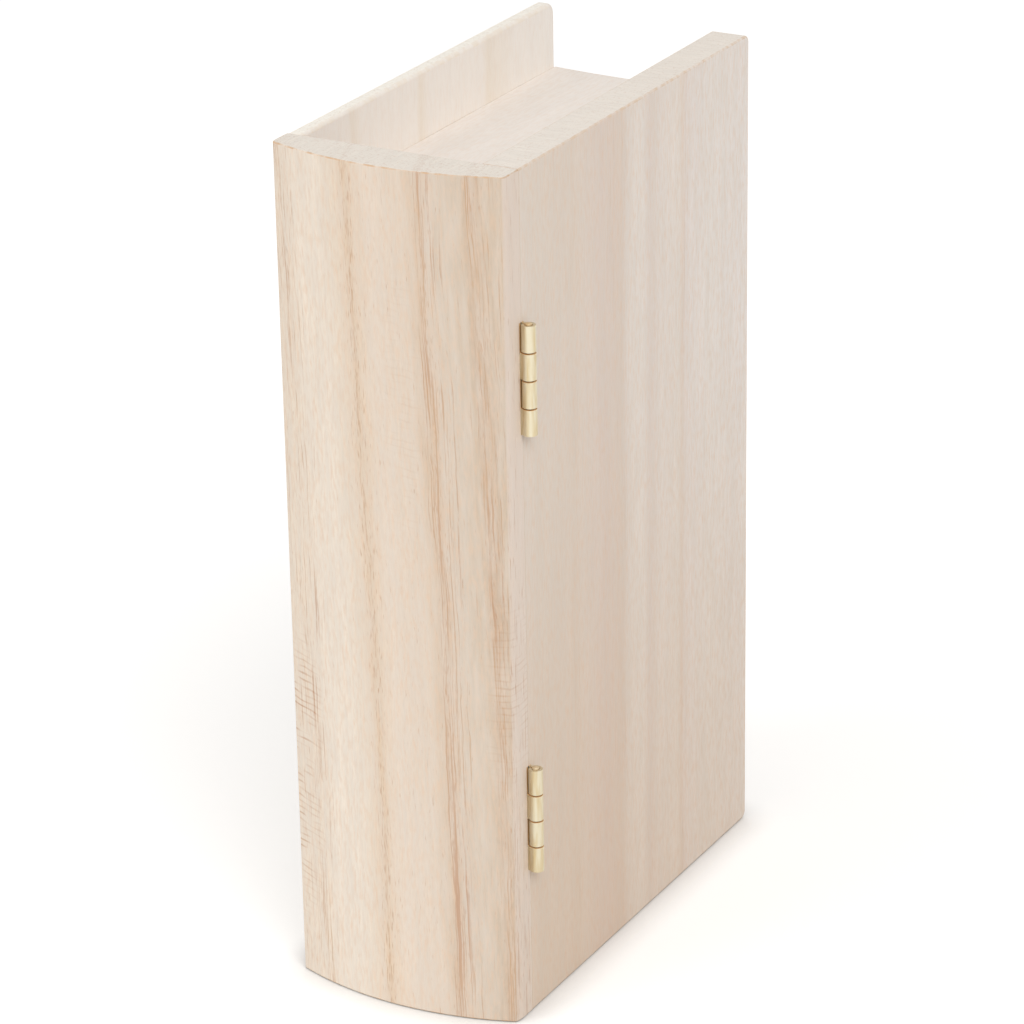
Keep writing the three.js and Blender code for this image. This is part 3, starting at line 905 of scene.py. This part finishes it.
def carve(piece, cutter):
    """Cuts the cutter's volume out of a piece."""
    mesh = bpy.data.meshes.new("cutter")
    cutter.to_mesh(mesh)
    cutter.free()
    tool = bpy.data.objects.new("cutter", mesh)
    bpy.context.scene.collection.objects.link(tool)
    cut = piece.modifiers.new("carve", "BOOLEAN")
    cut.operation = "DIFFERENCE"
    cut.solver = "EXACT"
    cut.object = tool
    graph = bpy.context.evaluated_depsgraph_get()
    carved = bpy.data.meshes.new_from_object(piece.evaluated_get(graph))
    piece.modifiers.clear()
    piece.data = carved
    bpy.data.objects.remove(tool)


print("edges over", round(math.degrees(SHARP_ANGLE)), "degrees count as sharp")

# %% [markdown]
# ## From bmesh to finished piece
#
# A bmesh becomes an object with its material, and its faces get their marks. Then the piece is
# shaded smooth with sharp creases, and a Weighted Normal modifier keeps large faces looking flat.
# Last come its body and the imported solid that it replaces.

# %% Finished pieces
END_FACING = 0.9


def mark_faces(piece, name, is_marked):
    """Stores a share from 0 to 1 on each face, for the piece's material to read."""
    marks = piece.data.attributes.new(name, "FLOAT", "FACE")
    for face, mark in zip(piece.data.polygons, marks.data):
        mark.value = float(is_marked(face))


def make_piece(bm, name, material):
    """Turns a bmesh into an object with its material."""
    mesh = bpy.data.meshes.new(name)
    bm.to_mesh(mesh)
    bm.free()
    piece = bpy.data.objects.new(name, mesh)
    bpy.context.scene.collection.objects.link(piece)
    mesh.materials.append(material)
    return piece


def finish_piece(piece, node, body, along=None):
    """Marks sawn ends, sets the shading, attaches the piece to its body and hides the imported
    solid.
    """
    mesh = piece.data
    if along is not None:
        mark_faces(piece, "end_grain", lambda face: abs(face.normal.dot(along)) > END_FACING)
    mesh.shade_smooth()
    mesh.set_sharp_from_angle(angle=SHARP_ANGLE)
    weighted = piece.modifiers.new("even_shading", "WEIGHTED_NORMAL")
    weighted.keep_sharp = True
    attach(piece, body)
    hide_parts(node)
    low, high = (Vector(corner) for corner in (piece.bound_box[0], piece.bound_box[6]))
    print(piece.name, [round(v / MM, 2) for v in high - low], "mm,", len(mesh.polygons), "faces")


print("a face within", round(math.degrees(math.acos(END_FACING))), "degrees of the grain is an end")

# %% [markdown]
# ## Hinge measures
#
# The hinges decide where wood has to be cut away, so their measures come before the boards. Each
# hinge is two leaves of sheet brass. Their edges are rolled into knuckles that share one pin, two
# knuckles to a leaf. The leaves lie in mortises, shallow pockets in the seam.

# %% Hinge measures
SHEET = 0.8 * MM
BARREL_RADIUS = 1.8 * MM
LEAF_INNER = 0.25 * MM
KNUCKLES = 4
KNUCKLE_GAP = 0.4 * MM
MORTISE_GAP = 0.06 * MM
SEAM_HALF = 0.02 * MM
hinges = {}
for level_name in ("lower", "upper"):
    low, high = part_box(f"{level_name}_spine_leaf")
    hinges[level_name] = {"foot": low.z, "top": high.z, "leaf_end": high.y}
    print(level_name, "hinge from", round(low.z / MM, 2), "to", round(high.z / MM, 2), "mm")


def mortises(side):
    """Boxes to cut for both leaves on one side of the seam: -1 is the spine, 1 the lid."""
    cutter = bmesh.new()
    for hinge in hinges.values():
        near = hinge_axis.x - side * OVERCUT
        far = hinge_axis.x + side * (LEAF_INNER + SHEET + MORTISE_GAP)
        low = Vector((min(near, far), lid_low.y - OVERCUT, hinge["foot"] - MORTISE_GAP))
        high = Vector((max(near, far), hinge["leaf_end"] + MORTISE_GAP,
                       hinge["top"] + MORTISE_GAP))
        block(cutter, low, high)
    return cutter


# %% [markdown]
# ## The spine block
#
# A solid moulding with a shallow round face, like the spine of a hardback. It could be lofted or
# cut from a cylinder, but a section says it best: one vertex is spun into the arc and closed with a
# flat back. The real block was sanded by hand, so it is a little rounder at the tail than at the
# head. Two slightly different sections, joined by bridging their outlines, give that. The sides
# that are level with the covers are marked, and their material paints them paler: painted light,
# which lifts the ring tones' painted shade on these faces, more towards the head.

# %% Spine block
HEAD_RISE, TAIL_RISE = 5.6 * MM, 6.2 * MM
HEAD_CORNER, TAIL_CORNER = 1.3 * MM, 3.4 * MM
END_EASE = 0.45 * MM
SEAM_EASE = 0.06 * MM
ARC_STEPS = 72
CORNER_STEPS = 8
LIT_SIDE_FROM = 0.6

bm = bmesh.new()
chord_x = spine_high.x - SPINE_EDGE
seam_x = hinge_axis.x - SEAM_HALF
loops = []
for height, rise, corner in ((0.0, TAIL_RISE, TAIL_CORNER), (box_height, HEAD_RISE, HEAD_CORNER)):
    before = set(bm.edges)
    first, last = arc(bm, Vector((chord_x, spine_low.y, height)),
                      Vector((chord_x, spine_high.y, height)), rise, ARC_STEPS)
    close_outline(bm, first, last, seam_x)
    bmesh.ops.bevel(bm, geom=[first, last], offset=corner, offset_type="OFFSET",
                    affect="VERTICES", segments=CORNER_STEPS, profile=0.5, material=-1)
    loops += [edge for edge in bm.edges if edge not in before]
bmesh.ops.bridge_loops(bm, edges=loops)
bmesh.ops.recalc_face_normals(bm, faces=bm.faces[:])
at_ends = sharp_edges(bm, lambda e: abs(e.verts[0].co.z - e.verts[1].co.z) < TOUCH)
soften(bm, at_ends, END_EASE, segments=3)
soften(bm, sharp_edges(bm), SEAM_EASE)
spine = make_piece(bm, "spine", spine_wood)
carve(spine, mortises(-1))
# The flat sides are marked for painted light: their material paints them paler
mark_faces(spine, "painted_light",
           lambda face: max(0.0, (abs(face.normal.y) - LIT_SIDE_FROM) / (1 - LIT_SIDE_FROM)))
finish_piece(spine, "spine_block", "case", along=Z)

# %% [markdown]
# ## The two covers
#
# Both covers are flat boards with two rounded corners at the fore edge. A board starts as a block
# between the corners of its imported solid. Bevelling comes in three passes, large to small: the
# rounded corners, then the eased outline, then the nearly sharp edge at the seam, where the lid
# meets the spine so closely that hardly a line shows.

# %% Covers
LID_CORNER = 2.0 * MM
BACK_CORNER = 3.0 * MM
LID_EASE = 0.5 * MM
BACK_EASE = 1.0 * MM


def cover(node, name, material, seam, corner, ease):
    """A cover board from its packed box, reaching to the seam, with softened edges."""
    low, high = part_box(node)
    low.x = seam
    bm = bmesh.new()
    block(bm, low, high)
    at_fore_edge = [edge for edge in bm.edges
                    if all(abs(v.co.x - high.x) < TOUCH for v in edge.verts)
                    and abs((edge.verts[0].co - edge.verts[1].co).y) > TOUCH]
    soften(bm, at_fore_edge, corner, segments=CORNER_STEPS)
    face_marks = bm.faces.layers.float["arris"]
    for face in bm.faces:
        face[face_marks] = 0.0
    away = sharp_edges(bm, lambda e: max(v.co.x for v in e.verts) > seam + TOUCH)
    soften(bm, away, ease, segments=4)
    soften(bm, sharp_edges(bm), SEAM_EASE)
    return make_piece(bm, name, material)


lid = cover("front_cover", "lid", lid_wood, hinge_axis.x + SEAM_HALF, LID_CORNER, LID_EASE)
carve(lid, mortises(1))
back_board = cover("back_cover", "back_board", back_wood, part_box("back_cover")[0].x,
                   BACK_CORNER, BACK_EASE)
for board in (lid, back_board):
    print(board.name, "so far:", len(board.data.polygons), "faces")

# %% [markdown]
# ## Magnets that hold the lid
#
# A small disc magnet is let into the fore-edge wall and another into the lid. Each is a turned
# disc with a bevelled rim, and sits in a drilled socket.

# %% Magnets
SOCKET_GAP = 0.2 * MM
MAGNET_RIM = 0.15 * MM


def magnet(node, name, body):
    """A disc magnet in its packed place. Returns its centre, radius and depth."""
    low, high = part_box(node)
    radius, depth, rim = (high.x - low.x) / 2, high.y - low.y, MAGNET_RIM
    bm = bmesh.new()
    centre = Vector(((low.x + high.x) / 2, low.y, (low.z + high.z) / 2))
    turned(bm, [(0, 0), (radius - rim, 0), (radius, rim), (radius, depth - rim),
                (radius - rim, depth), (0, depth)], centre, Y)
    piece = make_piece(bm, name, nickel)
    finish_piece(piece, node, body)
    return centre, radius, depth


def socket(centre, radius, start_y, end_y):
    """A drill that cuts a round socket between two depths."""
    drill = bmesh.new()
    turned(drill, [(0, start_y), (radius, start_y), (radius, end_y), (0, end_y)],
           Vector((centre.x, 0, centre.z)), Y)
    return drill


centre, radius, _ = magnet("lid_magnet", "lid_disc_magnet", "lid")
carve(lid, socket(centre, radius + SOCKET_GAP, centre.y - SOCKET_GAP, lid_high.y + OVERCUT))
finish_piece(lid, "front_cover", "lid", along=Z)
finish_piece(back_board, "back_cover", "case", along=Z)

# %% [markdown]
# ## The page block
#
# Three walls stand in for the pages. The head and tail walls run the whole length, and the
# fore-edge wall fits between them. The pages of a real book are hollow at the fore edge, so the
# walls end in a shallow arc there: the same section as the spine's, with the flat side behind.

# %% Page block
WALL_EASE = 0.18 * MM
HOLLOW = 1.5 * MM
HOLLOW_STEPS = 32


def wall(node, name, material):
    """A wall of the page block: flat towards the spine, hollow at the fore edge."""
    low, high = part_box(node)
    bm = bmesh.new()
    first, last = arc(bm, Vector((high.x, low.y, low.z)), Vector((high.x, high.y, low.z)),
                      HOLLOW, HOLLOW_STEPS)
    section = close_outline(bm, first, last, low.x)
    top = bmesh.ops.extrude_face_region(bm, geom=section, use_keep_orig=True)["geom"]
    moved = [item for item in top if isinstance(item, bmesh.types.BMVert)]
    bmesh.ops.translate(bm, verts=moved, vec=Z * (high.z - low.z))
    bmesh.ops.recalc_face_normals(bm, faces=bm.faces[:])
    soften(bm, sharp_edges(bm), WALL_EASE)
    return make_piece(bm, name, material)


tail = wall("tail_wall", "tail_page_wall", end_wall_wood)
finish_piece(tail, "tail_wall", "case", along=X)
head = wall("head_wall", "head_page_wall", end_wall_wood)
finish_piece(head, "head_wall", "case", along=X)
fore = wall("fore_edge_wall", "fore_edge_page_wall", fore_wall_wood)
centre, radius, depth = magnet("wall_magnet", "wall_disc_magnet", "case")
wall_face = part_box("fore_edge_wall")[0].y
carve(fore, socket(centre, radius + SOCKET_GAP, wall_face - OVERCUT,
                   centre.y + depth + SOCKET_GAP))
finish_piece(fore, "fore_edge_wall", "case", along=Z)

# %% [markdown]
# ## Hinge leaves, rolled from sheet
#
# A real knuckle is not a tube: the sheet leaves the flat leaf, bends outwards and rolls almost
# once round the pin, with a fine slit where it comes back. So the model is bent the same way. The
# leaf starts as a thin plate, cut across at each knuckle. The little faces that will roll are
# then spun three times: out, back, and round. Spinning a face drags it along like sheet metal.

# %% Hinge leaves
ROLL_ANGLE = math.radians(262)
ROLL_STEPS = 44
BEND_STEPS = 6
METAL_EASE = 0.07 * MM
LEAF_CLEARANCE = 0.15 * MM


def leaf_plate(bm, hinge, side, first_knuckle):
    """The flat plate, cut across at each knuckle. Returns the small faces that will roll."""
    across = sorted((leaf_axis.x + side * LEAF_INNER, leaf_axis.x + side * (LEAF_INNER + SHEET)))
    block(bm, (across[0], leaf_axis.y + leaf_start, hinge["foot"]),
          (across[1], hinge["leaf_end"], hinge["top"]))
    pitch = (hinge["top"] - hinge["foot"]) / KNUCKLES
    spans = []
    for index in range(first_knuckle, KNUCKLES, 2):
        foot = hinge["foot"] + index * pitch + KNUCKLE_GAP / 2
        spans.append((foot, foot + pitch - KNUCKLE_GAP))
        for height in spans[-1]:
            bmesh.ops.bisect_plane(bm, geom=bm.verts[:] + bm.edges[:] + bm.faces[:],
                                   plane_co=Z * height, plane_no=Z)
    return [face for face in bm.faces if face.normal.y < -END_FACING
            and any(low < face.calc_center_median().z < high for low, high in spans)]


def roll_up(bm, lips, side):
    """Bends the faces out, back and round the pin, dragging the sheet along."""
    middle = LEAF_INNER + SHEET / 2
    roll = BARREL_RADIUS - SHEET / 2
    bend = 2 * math.atan((roll - middle) / leaf_start)
    bend_radius = leaf_start / (2 * math.sin(bend))
    for centre_x, centre_y, angle, steps in (
        (middle + bend_radius, leaf_start, bend, BEND_STEPS),
        (roll - bend_radius, 0, -bend, BEND_STEPS),
        (0, 0, -ROLL_ANGLE, ROLL_STEPS),
    ):
        edges = {edge for face in lips for edge in face.edges}
        verts = {vert for face in lips for vert in face.verts}
        made = bmesh.ops.spin(
            bm, geom=list(lips) + list(edges) + list(verts), steps=steps, axis=Z,
            angle=side * angle,
            cent=(leaf_axis.x + side * centre_x, leaf_axis.y + centre_y, 0))
        lips = [item for item in made["geom_last"] if isinstance(item, bmesh.types.BMFace)]
    bmesh.ops.recalc_face_normals(bm, faces=bm.faces[:])


leaf_axis = Vector((hinge_axis.x, hinge_axis.y, 0))
leaf_start = BARREL_RADIUS + LEAF_CLEARANCE
print("flat part of a leaf starts", round(leaf_start / MM, 2), "mm behind the pin's axis")

# %% [markdown]
# ## Tack holes, and where the polish doesn't reach
#
# Each leaf has two countersunk holes, cut by a turned drill in the shape of the tack. The faces
# that barrel polishing can't reach are told by where they lie and which way they look. They are the
# crevices, so their warm, duller tone is partly painted light in the shade there.

# %% Finished leaves
TACK_SPACING = 15 * MM
TACK_RADIUS = 1.2 * MM
TACK_GAP = 0.08 * MM
COUNTERSINK = 0.1 * MM
SHANK_HOLE = 0.55 * MM
DRILL_PAST = 0.3 * MM


def tack_heights(hinge):
    """Where the two tacks of each leaf sit, as heights."""
    middle = (hinge["foot"] + hinge["top"]) / 2
    return [middle - TACK_SPACING / 2, middle + TACK_SPACING / 2]


def tack_drill(place, side):
    """A drill in the shape of a tack's hole: a wide countersink and a narrow shank."""
    drill = bmesh.new()
    hole = TACK_RADIUS + TACK_GAP
    turned(drill, [(0, -DRILL_PAST), (hole, -DRILL_PAST), (hole, COUNTERSINK),
                   (SHANK_HOLE, SHEET), (SHANK_HOLE, SHEET + DRILL_PAST),
                   (0, SHEET + DRILL_PAST)], place, X * side)
    return drill


def is_unpolished_or_crevice(face, hinge):
    """Inside the roll, between the knuckles and on the leaf's front edge."""
    if abs(face.normal.z) > END_FACING:
        return hinge["foot"] + KNUCKLE_GAP < face.center.z < hinge["top"] - KNUCKLE_GAP
    outward = (face.center - leaf_axis).xy
    is_edge = outward.y > BARREL_RADIUS and face.normal.y < -END_FACING
    is_inside = outward.length < BARREL_RADIUS and outward.dot(face.normal.xy) < 0
    return is_edge or is_inside


def hinge_leaf(level_name, side, first_knuckle):
    """One leaf. Side is -1 for the spine's and 1 for the lid's, and knuckles alternate."""
    hinge = hinges[level_name]
    bm = bmesh.new()
    roll_up(bm, leaf_plate(bm, hinge, side, first_knuckle), side)
    soften(bm, sharp_edges(bm), METAL_EASE)
    body, owner = ("case", "spine") if side < 0 else ("lid", "lid")
    piece = make_piece(bm, f"{level_name}_{owner}_hinge_leaf", brass)
    for height in tack_heights(hinge):
        place = Vector((leaf_axis.x + side * LEAF_INNER, hinge["tack_y"], height))
        carve(piece, tack_drill(place, side))
    # Marks the crevice faces: unpolished, and partly painted light
    mark_faces(piece, "unpolished_and_crevice_light", lambda face: is_unpolished_or_crevice(face, hinge))
    finish_piece(piece, f"{level_name}_{owner}_leaf", body)


for level_name, hinge in hinges.items():
    hinge["tack_y"] = (leaf_start + leaf_axis.y + hinge["leaf_end"]) / 2
    hinge_leaf(level_name, -1, 0)
    hinge_leaf(level_name, 1, 1)

# %% [markdown]
# ## Pins and tacks
#
# Both are turned parts. The pin's ends are riveted over into low domes that stand just proud of
# the barrel, and it was polished only a little, so its mark lies between the two. Each tack has a
# flat countersunk head with a slight crown, and a tapering point.

# %% Pins and tacks
# Half profiles: the pin's end in parts of its radius and dome, the tack in millimetres
PIN_END = ((0.0, 0.0), (0.45, 0.12), (0.75, 0.45), (0.95, 1.0), (1.0, 1.6))
TACK = ((0, 0), (0.7, 0.03), (1.12, 0.10), (1.2, 0.18), (0.5, 0.9), (0.5, 4.2), (0, 5.0))
TACK_PROUD = 0.05 * MM
PIN_DULLNESS = 0.4


def hinge_pin(level_name, hinge):
    """The pin of one hinge, from its packed box."""
    low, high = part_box(f"{level_name}_hinge_pin")
    radius, length, dome = (high.x - low.x) / 2, high.z - low.z, hinge["foot"] - low.z
    profile = [(radius * r, dome * h) for r, h in PIN_END]
    profile += [(r, length - h) for r, h in reversed(profile)]
    bm = bmesh.new()
    turned(bm, profile, Vector((hinge_axis.x, hinge_axis.y, low.z)), Z)
    pin = make_piece(bm, f"{level_name}_pin", brass)
    mark_faces(pin, "unpolished_and_crevice_light", lambda face: PIN_DULLNESS)
    finish_piece(pin, f"{level_name}_hinge_pin", "case")


def hinge_tack(level_name, hinge, side, index, height):
    """One tack, driven in from the seam."""
    body, owner = ("case", "spine") if side < 0 else ("lid", "lid")
    bm = bmesh.new()
    place = Vector((hinge_axis.x + side * (LEAF_INNER - TACK_PROUD), hinge["tack_y"], height))
    turned(bm, [(r * MM, h * MM) for r, h in TACK], place, X * side)
    tack = make_piece(bm, f"{level_name}_{owner}_nail_{index}", brass)
    finish_piece(tack, f"{level_name}_{owner}_tack_{index}", body)


for level_name, hinge in hinges.items():
    hinge_pin(level_name, hinge)
    for side in (-1, 1):
        for index, height in enumerate(tack_heights(hinge), start=1):
            hinge_tack(level_name, hinge, side, index, height)

# %% [markdown]
# ## View settings and the end
#
# The Standard view transform shows colours as they are written. The finished pieces must stay
# inside the imported model's box.

# %% Finish
bpy.context.scene.view_settings.view_transform = "Standard"
